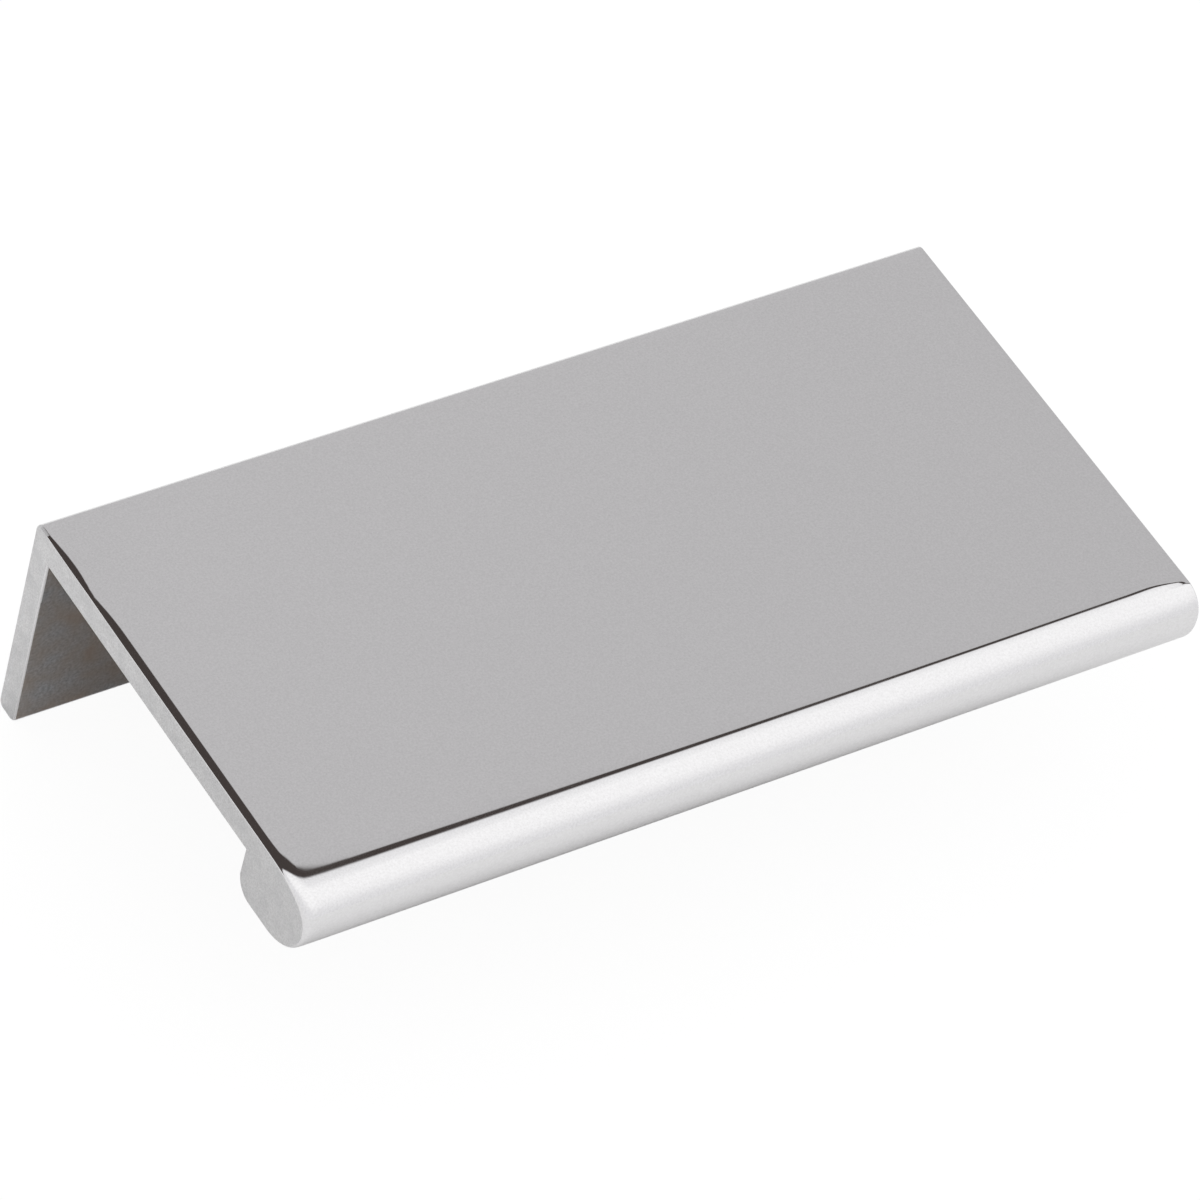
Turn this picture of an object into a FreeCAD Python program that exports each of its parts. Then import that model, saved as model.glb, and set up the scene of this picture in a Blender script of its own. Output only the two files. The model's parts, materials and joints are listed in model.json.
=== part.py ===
"""Tab pull: a chromed edge pull that hooks over the edge of a drawer front.

The pull is one length of an L-shaped bar. A flat plate lies on the front's top edge and reaches
forward past it, a leg turns down behind the front and is screwed to it, and a thick rounded lip
along the plate's free edge takes the fingertips.

Frame, in millimetres: X runs along the pull, -Y points out of the drawer front towards the user,
and Z is up. The origin lies on the leg's bearing face, midway between the two screw holes.
"""

import FreeCAD
import Part

import math
import os

# Overall sizes of the bar
length = 76.2
depth = 38.6
height = 19.5

# Plate and leg
plate_thickness = 2.5
leg_thickness = 2.2
back_bend_radius = 0.7
toe_radius = 0.6

# Lip: depth below the plate's top, width back from its tip, and its roundings
lip_height = 6.6
lip_width = 8.3
lip_front_radius = 4.2
lip_brow_radius = 2.0
lip_heel_radius = 1.7

# Softened edge round each sawn end
end_edge_radius = 0.2

# Countersunk holes for two flat-head wood screws, driven from behind the leg
screw_spacing = 50.8
screw_drop = 8.5
screw_diameter = 3.5
screw_clearance = 0.7
screw_head_diameter = 7.0
countersink_angle = 82.0

# Levels that follow from the sizes above
underside_z = screw_drop
top_z = underside_z + plate_thickness
toe_z = top_z - height
lip_base_z = top_z - lip_height
leg_back_y = leg_thickness
lip_tip_y = leg_back_y - depth
lip_back_y = lip_tip_y + lip_width
end_x = length / 2


def at(y, z):
    """Point of the section, on the plane of the left-hand end."""
    return FreeCAD.Vector(-end_x, y, z)


def rounded(y, z, radius, y_side, z_side):
    """Points where a rounded corner starts, bulges and ends.

    y, z is the sharp corner, and y_side, z_side are +1 or -1 towards the metal. The first point
    lies on the corner's flat face (constant z), the last on its upright face (constant y).
    """
    centre_y = y + y_side * radius
    centre_z = z + z_side * radius
    reach = radius * math.sqrt(0.5)
    return (
        at(centre_y, z),
        at(centre_y - y_side * reach, centre_z - z_side * reach),
        at(y, centre_z),
    )


def around(y, z, radius, angle):
    """Point on a circle about y, z, at an angle in radians that turns from +Y towards +Z."""
    return at(y + radius * math.cos(angle), z + radius * math.sin(angle))


def lip_front():
    """Points of the two arcs round the lip: its brow, then its front down to the base.

    The brow touches the plate's top and lies against the inside of the front's larger circle, so
    the three run into one another without a crease.
    """
    front_y = lip_tip_y + lip_front_radius
    front_z = lip_base_z + lip_front_radius
    brow_z = top_z - lip_brow_radius
    join = math.pi - math.asin((brow_z - front_z) / (lip_front_radius - lip_brow_radius))
    brow_y = front_y + (lip_front_radius - lip_brow_radius) * math.cos(join)
    crown = math.pi / 2
    base = math.pi * 3 / 2
    brow = [around(brow_y, brow_z, lip_brow_radius, turn) for turn in (crown, (crown + join) / 2, join)]
    front = [around(front_y, front_z, lip_front_radius, turn) for turn in (join, (join + base) / 2, base)]
    return brow, front


def section():
    """Closed outline of the bar, walked from the leg's root down, round the back and over the lip."""
    toe_front = rounded(0, toe_z, toe_radius, 1, 1)
    toe_back = rounded(leg_back_y, toe_z, toe_radius, -1, 1)
    bend = rounded(leg_back_y, top_z, back_bend_radius, -1, -1)
    brow, front = lip_front()
    heel = rounded(lip_back_y, lip_base_z, lip_heel_radius, -1, 1)
    root = at(0, underside_z)
    lip_root = at(lip_back_y, underside_z)
    edges = [
        Part.LineSegment(root, toe_front[2]),
        Part.Arc(toe_front[2], toe_front[1], toe_front[0]),
        Part.LineSegment(toe_front[0], toe_back[0]),
        Part.Arc(*toe_back),
        Part.LineSegment(toe_back[2], bend[2]),
        Part.Arc(bend[2], bend[1], bend[0]),
        Part.LineSegment(bend[0], brow[0]),
        Part.Arc(*brow),
        Part.Arc(*front),
        Part.LineSegment(front[2], heel[0]),
        Part.Arc(*heel),
        Part.LineSegment(heel[2], lip_root),
        Part.LineSegment(lip_root, root),
    ]
    return Part.Wire([edge.toShape() for edge in edges])


def bar():
    """The section drawn out to the pull's length."""
    return Part.Face(section()).extrude(FreeCAD.Vector(length, 0, 0))


def soften_ends(solid):
    """Rounds the edges of the two sawn end faces, the only faces that look along the pull."""
    ends = [face for face in solid.Faces if abs(face.normalAt(0, 0).x) > 0.5]
    return solid.makeFillet(end_edge_radius, [edge for face in ends for edge in face.Edges])


def screw_hole(x):
    """Cutter for one hole: a plain bore through the leg, and a cone for the head behind it."""
    into_leg = FreeCAD.Vector(0, -1, 0)
    bore_radius = (screw_diameter + screw_clearance) / 2
    head_radius = screw_head_diameter / 2
    sink_depth = (head_radius - bore_radius) / math.tan(math.radians(countersink_angle / 2))
    head_plane = FreeCAD.Vector(x, leg_back_y, 0)
    bore = Part.makeCylinder(bore_radius, leg_thickness, head_plane, into_leg)
    sink = Part.makeCone(head_radius, bore_radius, sink_depth, head_plane, into_leg)
    return bore.fuse(sink)


def tab_pull():
    """The finished pull."""
    solid = soften_ends(bar())
    for side in (-1, 1):
        solid = solid.cut(screw_hole(side * screw_spacing / 2))
    return solid


os.makedirs("parts", exist_ok=True)
tab_pull().exportStep("parts/tab_pull.step")
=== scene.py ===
"""Looks of the chromed tab pull: its polished bar, the pale floor, the studio light and the camera.

Everything is in metres, in the pull's own frame: X along the pull, -Y towards the user, Z up,
with the origin between the screw holes on the leg's bearing face.
"""

import json
import logging
import math
from dataclasses import dataclass, field
from enum import IntEnum
from typing import Any, ClassVar, Iterable, Optional, Sequence, Union

import bmesh
import bpy
from mathutils import Euler, Matrix, Vector


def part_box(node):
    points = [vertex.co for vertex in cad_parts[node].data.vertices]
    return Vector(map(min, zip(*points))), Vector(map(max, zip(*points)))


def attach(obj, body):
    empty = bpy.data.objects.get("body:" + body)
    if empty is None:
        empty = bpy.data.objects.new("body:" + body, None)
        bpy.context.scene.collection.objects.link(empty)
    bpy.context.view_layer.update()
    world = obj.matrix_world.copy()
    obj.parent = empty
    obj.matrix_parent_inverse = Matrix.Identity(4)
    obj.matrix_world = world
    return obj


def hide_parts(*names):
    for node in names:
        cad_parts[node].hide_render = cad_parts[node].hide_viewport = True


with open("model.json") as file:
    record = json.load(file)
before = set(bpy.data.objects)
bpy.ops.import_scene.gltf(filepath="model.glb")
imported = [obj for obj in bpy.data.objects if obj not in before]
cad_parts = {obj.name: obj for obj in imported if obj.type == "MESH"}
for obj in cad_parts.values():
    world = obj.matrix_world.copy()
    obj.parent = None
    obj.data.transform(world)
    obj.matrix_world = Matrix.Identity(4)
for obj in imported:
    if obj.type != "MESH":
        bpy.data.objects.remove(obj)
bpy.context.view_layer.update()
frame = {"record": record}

# Lengths in metres. What lies closer than NEAR touches, and points closer than SAME_POINT are one point.
MM = 0.001
NEAR = 0.01 * MM
SAME_POINT = 1e-7
NODE = "tab_pull"
BODY = "root"

log = logging.getLogger("tab_pull")

Triple = tuple[float, float, float]
Colour = Triple
ColourSource = Union[Colour, bpy.types.NodeSocket]

EVEN: Triple = (1, 1, 1)
ALONG = Vector((1, 0, 0))
ACROSS = Vector((0, 1, 0))
UP = Vector((0, 0, 1))


class Surface(IntEnum):
    """Finished surfaces of the bar, in the order of its material slots."""

    POLISHED = 0
    SAWN_END = 1
    INSIDE = 2
    SCREW_SEAT = 3


class NodeSheet:
    """Adds and links the nodes of one material or of the world.

    Noise is taken to run from `weak` to `strong`. In it, each finer cloud has `finer_share` of the strength.
    """

    finer_share: ClassVar[float] = 0.55
    weak: ClassVar[float] = 0.3
    strong: ClassVar[float] = 0.7

    def __init__(self, tree: bpy.types.NodeTree) -> None:
        """Clears the tree.

        Args:
            tree: Node tree to fill.
        """
        self.tree = tree
        tree.nodes.clear()

    def add(self, kind: str, inputs: Optional[dict[str | int, Any]] = None,
            **settings: Any) -> bpy.types.Node:
        """Adds one node.

        Args:
            kind: Blender's name for the node type.
            inputs: Socket name or number to a plain value or to the socket that feeds it.
            settings: Properties of the node itself.

        Returns:
            The new node.
        """
        node = self.tree.nodes.new(kind)
        for name, value in settings.items():
            setattr(node, name, value)
        for socket, value in (inputs or {}).items():
            if isinstance(value, bpy.types.NodeSocket):
                self.tree.links.new(value, node.inputs[socket])
            else:
                node.inputs[socket].default_value = value
        return node

    def place(self, stretch: Triple = EVEN) -> bpy.types.NodeSocket:
        """Object coordinates.

        Args:
            stretch: How many times longer a pattern is along X, Y and Z.

        Returns:
            The coordinates' socket.
        """
        where = self.add("ShaderNodeTexCoord").outputs["Object"]
        scale = tuple(1 / s for s in stretch)
        return self.add("ShaderNodeMapping", {"Vector": where, "Scale": scale}).outputs["Vector"]

    def noise(self, grain: float, detail: float = 2.0, stretch: Triple = EVEN) -> bpy.types.NodeSocket:
        """Cloudy noise.

        Args:
            grain: Size of one cloud, in metres.
            detail: Octaves of finer clouds.
            stretch: How many times longer a cloud is along X, Y and Z.

        Returns:
            The noise value's socket, from 0 to 1.
        """
        inputs = {
            "Vector": self.place(stretch),
            "Scale": 1 / grain,
            "Detail": detail,
            "Roughness": self.finer_share,
        }
        return self.add("ShaderNodeTexNoise", inputs).outputs["Fac"]

    def spread(self, value: bpy.types.NodeSocket, low: float, high: float) -> bpy.types.NodeSocket:
        """Stretches the middle of a noise value over a range.

        Args:
            value: Noise value.
            low: Result where the noise is weak.
            high: Result where the noise is strong.

        Returns:
            The stretched value's socket.
        """
        inputs = {
            "Value": value,
            "From Min": self.weak,
            "From Max": self.strong,
            "To Min": low,
            "To Max": high,
        }
        return self.add("ShaderNodeMapRange", inputs).outputs["Result"]

    def blend(self, share: bpy.types.NodeSocket, first: ColourSource,
              second: ColourSource) -> bpy.types.NodeSocket:
        """Mixes two colours.

        Args:
            share: Share of the second colour.
            first: Colour, or the socket of one.
            second: Colour, or the socket of one.

        Returns:
            The mixed colour's socket.
        """
        pair = [(*c, 1.0) if isinstance(c, tuple) else c for c in (first, second)]
        node = self.add("ShaderNodeMix", {"Factor": share}, data_type="RGBA")
        for socket, value in zip(("A", "B"), pair):
            target = next(s for s in node.inputs if s.name == socket and s.type == "RGBA")
            if isinstance(value, bpy.types.NodeSocket):
                self.tree.links.new(value, target)
            else:
                target.default_value = value
        return next(s for s in node.outputs if s.type == "RGBA")

    def bump(self, height: bpy.types.NodeSocket, depth: float,
             under: Optional[bpy.types.NodeSocket] = None) -> bpy.types.NodeSocket:
        """Turns a height into a bumped normal.

        Args:
            height: Height, from 0 to 1.
            depth: Height of 1, in metres.
            under: Normal that this bump is laid on, if any.

        Returns:
            The normal's socket.
        """
        inputs = {"Height": height, "Distance": depth, "Strength": 1.0}
        if under is not None:
            inputs["Normal"] = under
        return self.add("ShaderNodeBump", inputs).outputs["Normal"]


@dataclass(frozen=True)
class Relief:
    """A fine unevenness: the size of one wave and its height, in metres, and how far it is drawn out."""

    grain: float
    depth: float
    stretch: Triple = EVEN
    detail: float = 0.0

    def lay(self, sheet: NodeSheet, under: Optional[bpy.types.NodeSocket] = None) -> bpy.types.NodeSocket:
        """Lays the unevenness on a surface.

        Args:
            sheet: Node sheet of the material.
            under: Normal that it is laid on, if any.

        Returns:
            The uneven normal's socket.
        """
        waves = sheet.noise(self.grain, self.detail, self.stretch)
        return sheet.bump(waves, self.depth, under)


@dataclass(frozen=True)
class MetalFinish:
    """A plated surface: two tones that mottle each other, blotches of a third tone, a range of gloss and a
    fine relief.

    Lengths are in metres. Gloss is the roughness of the metal outside the blotches and inside them.
    """

    name: str
    pale: Colour
    deep: Colour
    mottle: float
    blotch: Colour
    blotch_share: float
    blotch_grain: float
    gloss: tuple[float, float]
    lines: Relief
    swell: Relief

    def material(self) -> bpy.types.Material:
        """Builds the finish as a material.

        Returns:
            The material.
        """
        made = bpy.data.materials.new(self.name)
        made.use_nodes = True
        sheet = NodeSheet(made.node_tree)
        mottled = sheet.blend(sheet.spread(sheet.noise(self.mottle), 0.0, 1.0), self.deep, self.pale)
        clouds = sheet.noise(self.blotch_grain)
        inputs = {
            "Base Color": sheet.blend(sheet.spread(clouds, 0.0, self.blotch_share), mottled, self.blotch),
            "Metallic": 1.0,
            "Roughness": sheet.spread(clouds, *self.gloss),
            "Normal": self.lines.lay(sheet, self.swell.lay(sheet)),
        }
        shader = sheet.add("ShaderNodeBsdfPrincipled", inputs)
        sheet.add("ShaderNodeOutputMaterial", {"Surface": shader.outputs["BSDF"]})
        return made


FINISHES: dict[Surface, MetalFinish] = {
    Surface.POLISHED: MetalFinish(
        name="mirror_chrome",
        pale=(0.92, 0.912, 0.92),
        deep=(0.825, 0.817, 0.823),
        mottle=0.16 * MM,
        blotch=(0.82, 0.815, 0.82),
        blotch_share=0.12,
        blotch_grain=6 * MM,
        gloss=(0.025, 0.05),
        lines=Relief(0.3 * MM, 0.00008 * MM, (40, 1, 1), detail=2.0),
        swell=Relief(5 * MM, 0.0008 * MM),
    ),
    Surface.SAWN_END: MetalFinish(
        name="sanded_chrome",
        pale=(0.85, 0.845, 0.85),
        deep=(0.635, 0.63, 0.63),
        mottle=0.12 * MM,
        blotch=(0.6, 0.6, 0.61),
        blotch_share=0.45,
        blotch_grain=1.6 * MM,
        gloss=(0.32, 0.46),
        lines=Relief(0.12 * MM, 0.003 * MM, EVEN, detail=2.0),
        swell=Relief(1.5 * MM, 0.004 * MM),
    ),
    # The inside faces under the plate keep dark tones partly as painted shade, on top of their duller
    # plating. Warm brown blotches cover most of them.
    Surface.INSIDE: MetalFinish(
        name="dull_chrome",
        pale=(0.56, 0.57, 0.59),
        deep=(0.32, 0.325, 0.335),
        mottle=0.25 * MM,
        blotch=(0.43, 0.34, 0.27),
        blotch_share=0.8,
        blotch_grain=3.4 * MM,
        gloss=(0.3, 0.45),
        lines=Relief(0.2 * MM, 0.003 * MM, (12, 1, 1), detail=2.0),
        swell=Relief(3 * MM, 0.006 * MM),
    ),
    Surface.SCREW_SEAT: MetalFinish(
        name="turned_chrome",
        pale=(0.8, 0.795, 0.795),
        deep=(0.64, 0.63, 0.625),
        mottle=0.2 * MM,
        blotch=(0.6, 0.59, 0.58),
        blotch_share=0.3,
        blotch_grain=1.0 * MM,
        gloss=(0.16, 0.28),
        lines=Relief(0.12 * MM, 0.002 * MM, EVEN, detail=2.0),
        swell=Relief(1.5 * MM, 0.002 * MM),
    ),
}


@dataclass(frozen=True)
class Bend:
    """One turn of the bar's section: an arc about y, z, or a sharp corner where the radius is 0.

    Angles are in radians, from +Y towards +Z.
    """

    y: float
    z: float
    radius: float = 0.0
    start: float = 0.0
    turn: float = math.pi / 2
    segments: int = 1

    def point(self, angle: float) -> Vector:
        """A point of the arc in the plane of the section, at an angle."""
        return Vector((0, self.y + self.radius * math.cos(angle), self.z + self.radius * math.sin(angle)))


@dataclass
class Buffing:
    """How a polishing wheel has worn the bright faces.

    It has worn them along the left-hand end, round the lip there, and along the plate's front over the brow.
    Towards the end, and towards the brow, the slope grows evenly from nothing at the reach to its full value.
    The wear along the end fades out at the back and is pinched once on the way. Over the brow it reaches
    further towards the left, most of all at the corner, and fades out at the right-hand end.
    """

    end_reach: float = 0.62 * MM
    end_slope: float = math.radians(9)
    end_fade_y: float = 1.0 * MM
    end_fade_length: float = 1.6 * MM
    pinch: float = 0.29 * MM
    pinch_y: float = -5.5 * MM
    pinch_width: float = 1.8 * MM
    corner_reach: float = 1.2 * MM
    corner_depth: float = 0.6 * MM
    corner_spread_back: float = 2.4 * MM
    corner_spread_down: float = 1.9 * MM
    front_reach: float = 1.29 * MM
    front_reach_lean: float = 0.55 * MM
    front_reach_bow: float = 0.43 * MM
    least_reach: float = 0.01 * MM
    front_slope: float = math.radians(8.8)
    front_slope_lean: float = math.radians(1.72)
    roll_length: float = 4.0 * MM
    roll_slope: float = math.radians(0.75)
    roll_start_y: float = -30.0 * MM
    roll_full_y: float = -32.7 * MM
    far_fade_length: float = 4.2 * MM
    brow_reach: float = 0.5 * MM

    def at_end(self, gap: float, y: float) -> float:
        """Depth lost along the left-hand end.

        Args:
            gap: Distance from the end, in metres.
            y: Place across the bar.

        Returns:
            Depth lost, in metres.
        """
        share = 1 - math.exp(min(y - self.end_fade_y, 0) / self.end_fade_length)
        pinched = self.pinch * math.exp(-((y - self.pinch_y) / self.pinch_width) ** 2)
        rest = max(self.end_reach * share - pinched - gap, 0)
        return math.tan(self.end_slope) * rest ** 2 / (2 * self.end_reach)

    def at_corner(self, gap: float, back: float, down: float) -> float:
        """Depth lost at the left-hand end, round the lip.

        Args:
            gap: Distance from the end, in metres.
            back: Distance behind the middle of the brow.
            down: Distance below the middle of the brow.

        Returns:
            Depth lost, in metres.
        """
        away = math.hypot(max(back, 0) / self.corner_spread_back, max(down, 0) / self.corner_spread_down)
        rest = max(self.corner_reach - gap, 0) / self.corner_reach
        return self.corner_depth * math.exp(-away ** 2) * rest ** 3

    def at_front(self, gap: float, x: float, half: float) -> float:
        """Depth lost towards the brow and on it.

        Args:
            gap: Distance behind the line where the brow begins, in metres, negative on the brow.
            x: Place along the bar.
            half: Half of the bar's length.

        Returns:
            Depth lost, in metres.
        """
        along = x / half
        fade = math.sin(math.pi / 2 * min((half - x) / self.far_fade_length, 1))
        reach = self.front_reach - self.front_reach_lean * along + self.front_reach_bow * along ** 2
        reach = max(reach * fade, self.least_reach)
        slope = self.front_slope + self.front_slope_lean * along
        rest = max(reach - max(gap, 0), 0)
        over = min(max(-gap, 0), self.brow_reach)
        behind = rest ** 2 / (2 * reach)
        beyond = over - over ** 2 / (2 * self.brow_reach)
        return math.tan(slope) * (behind + fade * beyond)

    def at_roll(self, gap: float, y: float) -> float:
        """Depth lost where the plate rolls off gently towards the left-hand corner.

        Args:
            gap: Distance from the end, in metres.
            y: Place across the bar.

        Returns:
            Depth lost, in metres.
        """
        share = min(max((self.roll_start_y - y) / (self.roll_start_y - self.roll_full_y), 0), 1)
        rest = max(1 - gap / self.roll_length, 0)
        eased = (3 - 2 * share) * share ** 2
        return eased * math.tan(self.roll_slope) * self.roll_length / 3 * rest ** 3


@dataclass
class Loops:
    """How closely the bar's faces are divided where they are worn, so that the polish stays smooth.

    Lengths are in metres.
    """

    end_margin: float = 0.23 * MM
    end_zone: float = 1.1 * MM
    end_step: float = 0.1 * MM
    near_zone: float = 5.0 * MM
    near_step: float = 0.4 * MM
    along_step: float = 4.0 * MM
    front_zone: float = 3.4 * MM
    front_step: float = 0.17 * MM
    plate_step: float = 0.8 * MM

    def across(self, low: float, high: float) -> list[float]:
        """Places along the bar where a loop runs across it.

        Args:
            low: Left-hand end.
            high: Right-hand end.

        Returns:
            The places, from left to right.
        """
        first = low + self.end_margin
        places = [first] + spaced(first, low + self.end_zone, self.end_step)
        places += spaced(low + self.end_zone, low + self.near_zone, self.near_step)
        places += spaced(low + self.near_zone, high - self.near_zone, self.along_step)
        return places + spaced(high - self.near_zone, high, self.near_step)

    def along(self, front: float, back: float) -> list[float]:
        """Places across the plate where a loop runs along it.

        Args:
            front: Where the lip's brow begins.
            back: Where the back bend begins.

        Returns:
            The places, from front to back.
        """
        places = spaced(front, front + self.front_zone, self.front_step)
        return places + spaced(front + self.front_zone, back, self.plate_step)


def spaced(start: float, stop: float, step: float) -> list[float]:
    """Even places from one step after a start up to the stop, so that rows can follow one another.

    Args:
        start: Where the row starts, which is left out.
        stop: Where the row stops, which is kept.
        step: Distance aimed at between two places.

    Returns:
        The places.
    """
    count = max(round((stop - start) / step), 1)
    return [start + (stop - start) * number / count for number in range(1, count + 1)]


@dataclass(frozen=True)
class Flats:
    """How many flats stand in for each rounding of the bar."""

    toe: int = 8
    back_bend: int = 12
    brow: int = 32
    front: int = 40
    heel: int = 16
    end_edge: int = 5
    hole: int = 64
    hole_edge: int = 3


@dataclass(frozen=True)
class Facing:
    """How squarely a face looks along an axis, as a cosine, to be taken as one of these."""

    square: float = 0.999
    end: float = 0.9
    end_edge: float = 0.3
    rubbed: float = 0.02


@dataclass
class PullBar:
    """The whole pull: one bar with a plate, a leg and a lip, and two countersunk holes in the leg.

    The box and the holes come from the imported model. The other sizes are those of the section.
    """

    low: Vector
    high: Vector
    underside_z: float
    hole_spacing: float
    hole_radius: float
    back_bend_radius: float = 0.7 * MM
    toe_radius: float = 0.6 * MM
    lip_height: float = 6.6 * MM
    lip_width: float = 8.3 * MM
    lip_front_radius: float = 4.2 * MM
    lip_brow_radius: float = 2.0 * MM
    lip_heel_radius: float = 1.7 * MM
    end_edge_radius: float = 0.08 * MM
    worn_edge_radius: float = 0.2 * MM
    rubbed_corner: float = 1.45 * MM
    screw_head_radius: float = 3.5 * MM
    countersink_angle: float = math.radians(82)
    hole_edge_radius: float = 0.08 * MM
    hole_patch: float = 4.6 * MM
    hole_seam: float = 0.001 * MM
    ring_inset: float = 0.1 * MM
    finest_edge: float = 1e-8
    crease_angle: float = math.radians(40)
    buffing: Buffing = field(default_factory=Buffing)
    loops: Loops = field(default_factory=Loops)
    flats: Flats = Flats()
    facing: Facing = Facing()

    @classmethod
    def from_frame(cls, record: dict[str, Any]) -> "PullBar":
        """Reads the box, the plate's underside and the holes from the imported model.

        Args:
            record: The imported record.

        Returns:
            The bar.
        """
        mounts = {mount["name"]: mount for mount in record["mounts"]}
        low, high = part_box(NODE)
        screws = mounts["leg_screws"]["dims"]
        return cls(
            low=low,
            high=high,
            underside_z=mounts["plate_underside"]["pos_m"][2],
            hole_spacing=screws["spacing_x_mm"] * MM,
            hole_radius=screws["hole_r_mm"] * MM,
        )

    @property
    def lip_back_y(self) -> float:
        """Where the lip's back face stands."""
        return self.low.y + self.lip_width

    @property
    def lip_rounds(self) -> tuple[Bend, Bend]:
        """The lip's brow and its front, two arcs that touch each other and the plate's top."""
        front_y = self.low.y + self.lip_front_radius
        front_z = self.high.z - self.lip_height + self.lip_front_radius
        brow_z = self.high.z - self.lip_brow_radius
        inset = self.lip_front_radius - self.lip_brow_radius
        join = math.pi - math.asin((brow_z - front_z) / inset)
        brow_y = front_y + inset * math.cos(join)
        crown = math.pi / 2
        base = math.pi * 3 / 2
        brow = Bend(brow_y, brow_z, self.lip_brow_radius, crown, join - crown, self.flats.brow)
        front = Bend(front_y, front_z, self.lip_front_radius, join, base - join, self.flats.front)
        return brow, front

    def bends(self) -> list[Bend]:
        """The section's turns, from the leg's root down, round the back and over the lip."""
        toe = self.toe_radius
        bend = self.back_bend_radius
        heel = self.lip_heel_radius
        brow, front = self.lip_rounds
        toe_z = self.low.z + toe
        heel_z = self.high.z - self.lip_height + heel
        down = math.pi * 3 / 2
        flats = self.flats
        return [
            Bend(0, self.underside_z),
            Bend(toe, toe_z, toe, math.pi, segments=flats.toe),
            Bend(self.high.y - toe, toe_z, toe, down, segments=flats.toe),
            Bend(self.high.y - bend, self.high.z - bend, bend, 0, segments=flats.back_bend),
            brow,
            front,
            Bend(self.lip_back_y - heel, heel_z, heel, down, segments=flats.heel),
            Bend(self.lip_back_y, self.underside_z),
        ]

    def draw_out(self, mesh: bmesh.types.BMesh) -> None:
        """Draws the section turn by turn, and draws it out to the bar's length.

        Args:
            mesh: Empty mesh that gets the bar.
        """
        at_end = Vector((self.low.x, 0, 0))
        ends: list[bmesh.types.BMVert] = []
        for bend in self.bends():
            head = mesh.verts.new(at_end + bend.point(bend.start))
            ends.append(head)
            if bend.radius:
                centre = (self.low.x, bend.y, bend.z)
                spun = bmesh.ops.spin(
                    mesh, geom=[head], cent=centre, axis=ALONG, angle=bend.turn, steps=bend.segments,
                )
                head = next(part for part in spun["geom_last"] if isinstance(part, bmesh.types.BMVert))
            ends.append(head)
        for last, following in zip(ends[1::2], ends[2::2] + ends[:1]):
            mesh.edges.new((last, following))
        bmesh.ops.remove_doubles(mesh, verts=mesh.verts, dist=SAME_POINT)
        bmesh.ops.contextual_create(mesh, geom=mesh.edges[:])
        drawn = bmesh.ops.extrude_face_region(mesh, geom=mesh.faces[:])["geom"]
        moved = [part for part in drawn if isinstance(part, bmesh.types.BMVert)]
        bmesh.ops.translate(mesh, verts=moved, vec=ALONG * (self.high.x - self.low.x))
        bmesh.ops.recalc_face_normals(mesh, faces=mesh.faces)

    def surface_of(self, face: bmesh.types.BMFace) -> Surface:
        """Says which finish a face of the plain bar has.

        Args:
            face: Face of the bar.

        Returns:
            Its surface.
        """
        centre = face.calc_center_bounds()
        endwise = abs(face.normal.x)
        if endwise > self.facing.end and abs(centre.x) > self.high.x - NEAR:
            return Surface.SAWN_END
        if self.lip_back_y - NEAR < centre.y < NEAR and centre.z < self.underside_z + NEAR:
            return Surface.INSIDE if endwise < self.facing.end_edge else Surface.SAWN_END
        return Surface.POLISHED

    def cut_across(self, mesh: bmesh.types.BMesh, faces: Sequence[bmesh.types.BMFace], at: Vector,
                   normal: Vector) -> None:
        """Adds an edge where a plane crosses some faces.

        Args:
            mesh: Mesh of the bar.
            faces: Faces to cut.
            at: Point of the plane.
            normal: Normal of the plane.
        """
        around = dict.fromkeys(part for face in faces for part in (face, *face.edges, *face.verts))
        bmesh.ops.bisect_plane(mesh, geom=list(around), dist=SAME_POINT, plane_co=at, plane_no=normal)

    def divide(self, mesh: bmesh.types.BMesh) -> None:
        """Divides the bar across its length, and the plate along it, where the polish will be worn.

        Args:
            mesh: Mesh of the bar.
        """
        brow, _ = self.lip_rounds
        for x in self.loops.across(self.low.x, self.high.x):
            self.cut_across(mesh, mesh.faces[:], ALONG * x, ALONG)
        for y in self.loops.along(brow.y, self.high.y - self.back_bend_radius):
            plate = [face for face in mesh.faces if face.normal.z > self.facing.square]
            self.cut_across(mesh, plate, ACROSS * y, ACROSS)

    def buff(self, mesh: bmesh.types.BMesh) -> None:
        """Wears the polished faces off towards the left-hand end, and the plate towards the lip's brow.

        Args:
            mesh: Mesh of the bar.
        """
        wheel = self.buffing
        brow, _ = self.lip_rounds
        crown = brow.point(brow.start + brow.turn / 2)
        mesh.normal_update()
        lost: list[tuple[bmesh.types.BMVert, Vector]] = []
        for vert in mesh.verts:
            sides = [face for face in vert.link_faces if self.surface_of(face) != Surface.SAWN_END]
            if any(self.surface_of(face) == Surface.INSIDE for face in sides):
                continue
            outward = sum((face.normal * face.calc_area() for face in sides), Vector()).normalized()
            gap = vert.co.x - self.low.x
            worn = wheel.at_corner(gap, vert.co.y - crown.y, crown.z - vert.co.z)
            loss = outward * (wheel.at_end(gap, vert.co.y) + worn + wheel.at_roll(gap, vert.co.y))
            loss.z += max(outward.z, 0) * wheel.at_front(vert.co.y - brow.y, vert.co.x, self.high.x)
            lost.append((vert, loss))
        for vert, loss in lost:
            vert.co -= loss

    def soften_ends(self, mesh: bmesh.types.BMesh) -> None:
        """Rounds the edges of the sawn ends, more on the worn left-hand one.

        Args:
            mesh: Mesh of the bar.
        """
        mesh.normal_update()
        ends = [face for face in mesh.faces if self.surface_of(face) == Surface.SAWN_END]
        for end in ends:
            worn = end.calc_center_bounds().x < 0
            radius = self.worn_edge_radius if worn else self.end_edge_radius
            self.round_edges(mesh, end.edges[:], radius, self.flats.end_edge)

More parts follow.
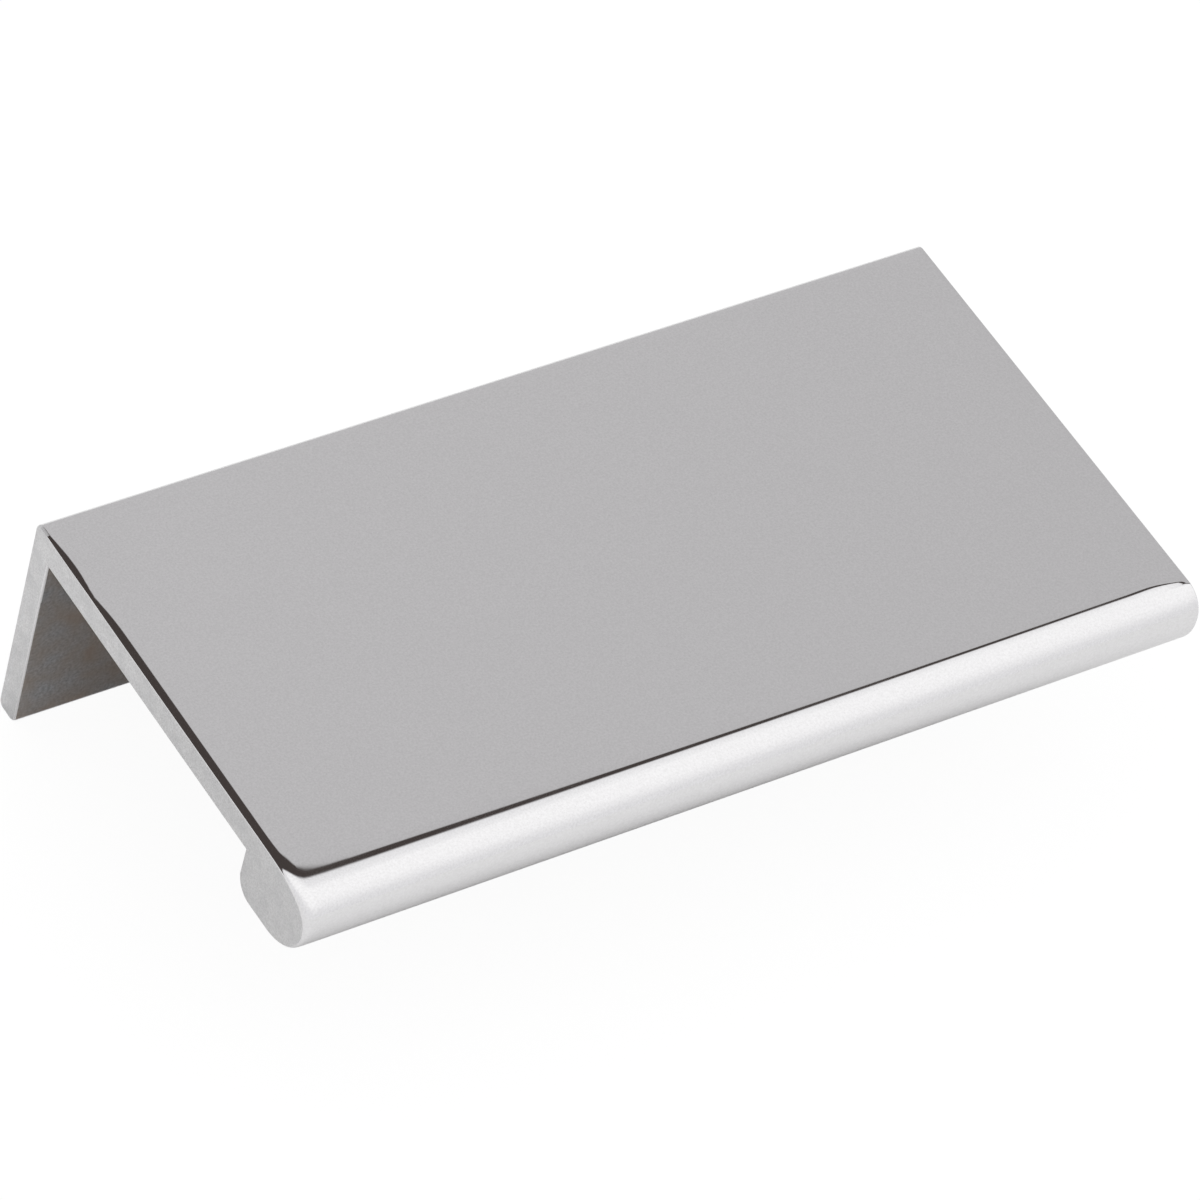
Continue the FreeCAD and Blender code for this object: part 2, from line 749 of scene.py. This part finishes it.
    def round_edges(self, mesh: bmesh.types.BMesh, edges: Sequence[bmesh.types.BMEdge], radius: float,
                    segments: int) -> None:
        """Rounds some edges.

        Args:
            mesh: Mesh of the bar.
            edges: Edges to round.
            radius: Radius of the rounding.
            segments: Flats that stand in for it.
        """
        bmesh.ops.bevel(
            mesh, geom=edges, offset=radius, offset_type="OFFSET", affect="EDGES", segments=segments,
            profile=0.5, material=-1, clamp_overlap=False,
        )

    def keep_inside(self, mesh: bmesh.types.BMesh) -> None:
        """Brings any point that an edge's rounding has pushed out back to the bar's box.

        Args:
            mesh: Mesh of the bar.
        """
        for vert in mesh.verts:
            inner = [min(max(value, low), high) for value, low, high in zip(vert.co, self.low, self.high)]
            vert.co = Vector(inner)

    def sink(self, mesh: bmesh.types.BMesh, start: Vector, rings: Sequence[tuple[float, float]]) -> None:
        """Opens one side of a screw hole in a square patch of the leg.

        Args:
            mesh: Mesh of the bar.
            start: Middle of the patch.
            rings: Radius and depth y of each ring, from the patch inwards.
        """
        patch = min(mesh.faces, key=lambda face: (face.calc_center_bounds() - start).length)
        rim = patch.edges[:]
        bmesh.ops.bisect_edges(mesh, edges=rim, cuts=self.flats.hole // len(rim) - 1)
        for radius, y in rings:
            bmesh.ops.inset_individual(mesh, faces=[patch], thickness=self.ring_inset, use_even_offset=True)
            for vert in patch.verts:
                spoke = Vector((vert.co.x - start.x, 0, vert.co.z - start.z)).normalized() * radius
                vert.co = Vector((start.x + spoke.x, y, start.z + spoke.z))
        bmesh.ops.delete(mesh, geom=[patch], context="FACES_ONLY")

    def drill(self, mesh: bmesh.types.BMesh) -> None:
        """Opens the two countersunk holes in the leg, and softens their mouths.

        Args:
            mesh: Mesh of the bar.
        """
        back_y = self.high.y
        bore = self.hole_radius
        seat_y = back_y - (self.screw_head_radius - bore) / math.tan(self.countersink_angle / 2)
        centres = [side * self.hole_spacing / 2 for side in (-1, 1)]
        sides = [x + side * self.hole_patch for x in centres for side in (-1, 1)]
        planes = [(ALONG * x, ALONG) for x in sides]
        planes += [(UP * side * self.hole_patch, UP) for side in (-1, 1)]
        for at, normal in planes:
            square = [face for face in mesh.faces if abs(face.normal.y) > self.facing.square]
            leg = [face for face in square if face.calc_center_bounds().y > -NEAR]
            self.cut_across(mesh, leg, at, normal)
        countersink = ((self.screw_head_radius, back_y), (bore, seat_y), (bore, 0))
        for x in centres:
            self.sink(mesh, Vector((x, back_y, 0)), countersink)
            self.sink(mesh, Vector((x, 0, 0)), ((bore, 0),))
        bmesh.ops.remove_doubles(mesh, verts=mesh.verts, dist=self.hole_seam)
        bmesh.ops.recalc_face_normals(mesh, faces=mesh.faces)
        mouths = [edge for edge in mesh.edges if self.is_mouth(edge)]
        self.round_edges(mesh, mouths, self.hole_edge_radius, self.flats.hole_edge)

    def from_hole(self, point: Vector) -> float:
        """Distance of a point from the axis of the nearer hole."""
        return math.hypot(abs(point.x) - self.hole_spacing / 2, point.z)

    def is_mouth(self, edge: bmesh.types.BMEdge) -> bool:
        """Says whether an edge lies on the ring where a hole meets a face of the leg.

        Args:
            edge: Edge of the bar.

        Returns:
            True on either ring.
        """
        ends = [vert.co for vert in edge.verts]
        for radius, y in ((self.screw_head_radius, self.high.y), (self.hole_radius, 0)):
            on_ring = all(abs(self.from_hole(end) - radius) < NEAR for end in ends)
            if on_ring and all(abs(end.y - y) < NEAR for end in ends):
                return True
        return False

    def mark_surfaces(self, mesh: bmesh.types.BMesh) -> None:
        """Gives each face the material slot of its surface.

        Args:
            mesh: Finished mesh of the bar.
        """
        mesh.normal_update()
        back_corner = Vector((self.low.x, self.high.y, self.high.z))
        for face in mesh.faces:
            centre = face.calc_center_bounds()
            in_hole = self.from_hole(centre) < self.screw_head_radius and centre.y > NEAR
            by_corner = (centre - back_corner).length < self.rubbed_corner
            if in_hole:
                face.material_index = Surface.SCREW_SEAT
            elif by_corner and face.normal.x < -self.facing.rubbed:
                face.material_index = Surface.SAWN_END
            else:
                face.material_index = self.surface_of(face)
            face.smooth = True

    def build(self) -> bpy.types.Object:
        """Models the bar.

        Returns:
            The finished piece.
        """
        mesh = bmesh.new()
        self.draw_out(mesh)
        self.drill(mesh)
        self.divide(mesh)
        self.buff(mesh)
        self.soften_ends(mesh)
        self.keep_inside(mesh)
        bmesh.ops.remove_doubles(mesh, verts=mesh.verts, dist=self.finest_edge)
        bmesh.ops.recalc_face_normals(mesh, faces=mesh.faces)
        self.mark_surfaces(mesh)
        loose = [edge for edge in mesh.edges if len(edge.link_faces) != 2]
        log.info("bar: %d faces, %d open edges", len(mesh.faces), len(loose))
        data = bpy.data.meshes.new("pull_bar")
        mesh.to_mesh(data)
        mesh.free()
        data.set_sharp_from_angle(angle=self.crease_angle)
        piece = bpy.data.objects.new("pull_bar", data)
        bpy.context.scene.collection.objects.link(piece)
        self.dress(piece)
        return piece

    def dress(self, piece: bpy.types.Object) -> None:
        """Gives the bar its finishes, true shading and body, and hides the imported part.

        Args:
            piece: The bar.
        """
        for surface in Surface:
            piece.data.materials.append(FINISHES[surface].material())
        even = piece.modifiers.new("flat_faces_stay_flat", "WEIGHTED_NORMAL")
        even.keep_sharp = True
        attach(piece, BODY)
        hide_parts(NODE)


@dataclass(frozen=True)
class Edge:
    """One side of a sheet: how far a direction must lean `inward`, as a sine, to meet its tone."""

    inward: Triple
    start: float
    full: float


@dataclass(frozen=True)
class Card:
    """A sheet of even tone, far off round the pull, that shows in the polished metal."""

    tone: Colour
    edges: tuple[Edge, ...]


@dataclass
class Studio:
    """The light of a white room: a glow from above, the sheets that the metal mirrors, a white backdrop."""

    white: Colour = (1.0, 1.0, 1.0)
    low_glow: Colour = (0.36, 0.36, 0.36)
    high_glow: Colour = (1.24, 1.24, 1.24)
    glow_rise: Edge = Edge((0, 0, 1), 0.1, 1.0)
    room: Colour = (0.82, 0.82, 0.83)
    dark: ClassVar[Colour] = (0.06, 0.05, 0.047)
    overhead_lamp: Card = Card(
        tone=(1.042, 1.042, 1.042),
        edges=(Edge((0, 0, 1), 0.15, 1.0), Edge((0, -1, 0.46), -0.02, 0.18)),
    )
    dark_gap: Card = Card(
        tone=dark,
        edges=(
            Edge((0.39, 1, -0.639), -0.01, 0.01),
            Edge((1, 0, -0.05), -0.1, 0.1),
            Edge((0, -1, 1.1), -0.1, 0.1),
        ),
    )
    dark_side: Card = Card(
        tone=dark,
        edges=(
            Edge((-1, 0, 0.5), -0.02, 0.02),
            Edge((0, 1, 0), 0.35, 0.39),
            Edge((0, -1, 0), -0.64, -0.58),
            Edge((0, 0, 1), 0.0, 0.05),
        ),
    )
    grey_wall: Card = Card(
        tone=(0.556, 0.551, 0.556),
        edges=(Edge((1, 0, -0.545), -0.008, 0.008), Edge((0.459, 1, -0.762), -0.008, 0.008)),
    )
    wall_shade: Card = Card(
        tone=(0.526, 0.521, 0.526),
        edges=(*grey_wall.edges, Edge((0.6, -1, 0), -0.26, -0.1)),
    )

    def build(self) -> bpy.types.World:
        """Builds the world's light.

        Returns:
            The world.
        """
        world = bpy.data.worlds.new("studio")
        bpy.context.scene.world = world
        world.use_nodes = True
        sheet = NodeSheet(world.node_tree)
        toward = sheet.add("ShaderNodeTexCoord").outputs["Generated"]
        mirrored: ColourSource = self.room
        for card in (self.overhead_lamp, self.dark_gap, self.dark_side, self.grey_wall, self.wall_shade):
            mirrored = sheet.blend(self.cover(sheet, toward, card.edges), mirrored, card.tone)
        glow = sheet.blend(self.inside(sheet, toward, self.glow_rise), self.low_glow, self.high_glow)
        path = sheet.add("ShaderNodeLightPath")
        tone = sheet.blend(path.outputs["Is Glossy Ray"], glow, mirrored)
        around = sheet.add("ShaderNodeBackground", {"Color": tone, "Strength": 1.0})
        backdrop = sheet.add("ShaderNodeBackground", {"Color": (*self.white, 1.0), "Strength": 1.0})
        inputs = {
            "Fac": path.outputs["Is Camera Ray"],
            1: around.outputs["Background"],
            2: backdrop.outputs["Background"],
        }
        both = sheet.add("ShaderNodeMixShader", inputs)
        sheet.add("ShaderNodeOutputWorld", {"Surface": both.outputs["Shader"]})
        return world

    def inside(self, sheet: NodeSheet, toward: bpy.types.NodeSocket, edge: Edge) -> bpy.types.NodeSocket:
        """How far a direction lies within one edge.

        Args:
            sheet: Node sheet of the world.
            toward: Direction that a ray leaves in.
            edge: The edge.

        Returns:
            The share's socket, from 0 outside to 1 inside.
        """
        inward = Vector(edge.inward).normalized()
        lean = sheet.add("ShaderNodeVectorMath", {0: toward, 1: inward}, operation="DOT_PRODUCT")
        inputs = {"Value": lean.outputs["Value"], "From Min": edge.start, "From Max": edge.full}
        ramp = sheet.add("ShaderNodeMapRange", inputs, interpolation_type="SMOOTHSTEP")
        return ramp.outputs["Result"]

    def cover(self, sheet: NodeSheet, toward: bpy.types.NodeSocket,
              edges: Sequence[Edge]) -> bpy.types.NodeSocket:
        """How far a direction lies within every one of some edges.

        Args:
            sheet: Node sheet of the world.
            toward: Direction that a ray leaves in.
            edges: The edges.

        Returns:
            The share's socket, from 0 outside to 1 inside.
        """
        share, *others = [self.inside(sheet, toward, edge) for edge in edges]
        for other in others:
            product = sheet.add("ShaderNodeMath", {0: share, 1: other}, operation="MULTIPLY")
            share = product.outputs["Value"]
        return share


@dataclass
class Floor:
    """A wide pale floor a hair below the leg's toe.

    The camera sees it as a white glow, on which the pull's shadow stays.
    """

    toe_z: float
    clearance: float = 0.02 * MM
    half_width: float = 1.5
    paint: Colour = (0.86, 0.86, 0.86)
    seen_paint: Colour = (0.08, 0.08, 0.08)
    seen_glow: float = 0.94

    def build(self) -> bpy.types.Object:
        """Makes the floor.

        Returns:
            The floor.
        """
        mesh = bmesh.new()
        down = Matrix.Translation(UP * (self.toe_z - self.clearance))
        bmesh.ops.create_grid(mesh, x_segments=1, y_segments=1, size=self.half_width, matrix=down)
        data = bpy.data.meshes.new("floor")
        mesh.to_mesh(data)
        mesh.free()
        floor = bpy.data.objects.new("floor", data)
        bpy.context.scene.collection.objects.link(floor)
        data.materials.append(self.material())
        return floor

    def material(self) -> bpy.types.Material:
        """Pale paint, which the camera sees as a white glow with a faint shadow.

        Returns:
            The material.
        """
        made = bpy.data.materials.new("pale_floor")
        made.use_nodes = True
        sheet = NodeSheet(made.node_tree)
        path = sheet.add("ShaderNodeLightPath")
        paint = sheet.add("ShaderNodeBsdfDiffuse", {"Color": (*self.paint, 1.0)})
        shade = sheet.add("ShaderNodeBsdfDiffuse", {"Color": (*self.seen_paint, 1.0)})
        glow = sheet.add("ShaderNodeEmission", {"Color": (1, 1, 1, 1), "Strength": self.seen_glow})
        seen = sheet.add("ShaderNodeAddShader", {0: shade.outputs["BSDF"], 1: glow.outputs["Emission"]})
        inputs = {"Fac": path.outputs["Is Camera Ray"], 1: paint.outputs["BSDF"], 2: seen.outputs["Shader"]}
        both = sheet.add("ShaderNodeMixShader", inputs)
        sheet.add("ShaderNodeOutputMaterial", {"Surface": both.outputs["Shader"]})
        return made


@dataclass
class PhotoCamera:
    """The camera at the photograph's viewing angle, worked out from the pull's straight edges."""

    aim: Vector = field(default_factory=lambda: Vector((-0.02, -15.31, 5.0)) * MM)
    distance: float = 594.76 * MM
    azimuth: float = math.radians(-43.672)
    elevation: float = math.radians(46.255)
    roll: float = math.radians(16.114)
    lens: float = 247.46
    sensor_width: float = 36.0
    nearest: float = 0.01
    farthest: float = 10.0

    def build(self) -> bpy.types.Object:
        """Makes the camera and hands it to the scene.

        Returns:
            The camera.
        """
        data = bpy.data.cameras.new("photo_camera")
        data.lens = self.lens
        data.sensor_width = self.sensor_width
        data.clip_start = self.nearest
        data.clip_end = self.farthest
        camera = bpy.data.objects.new("photo_camera", data)
        bpy.context.scene.collection.objects.link(camera)
        turn = Euler((math.pi / 2 - self.elevation, 0, self.azimuth)).to_matrix()
        rolled = turn @ Matrix.Rotation(self.roll, 3, "Z")
        back = rolled @ UP
        camera.matrix_world = Matrix.Translation(self.aim + back * self.distance) @ rolled.to_4x4()
        bpy.context.scene.camera = camera
        return camera


def main() -> None:
    """Builds the pull, its stage, its light and the camera."""
    logging.basicConfig(level=logging.INFO, format="%(name)s: %(message)s")
    bar = PullBar.from_frame(frame["record"])
    log.info("built %s", bar.build().name)
    log.info("built %s", Floor(toe_z=bar.low.z).build().name)
    log.info("built %s", Studio().build().name)
    log.info("built %s", PhotoCamera().build().name)
    bpy.context.scene.view_settings.view_transform = "Standard"


if __name__ == "__main__":
    main()
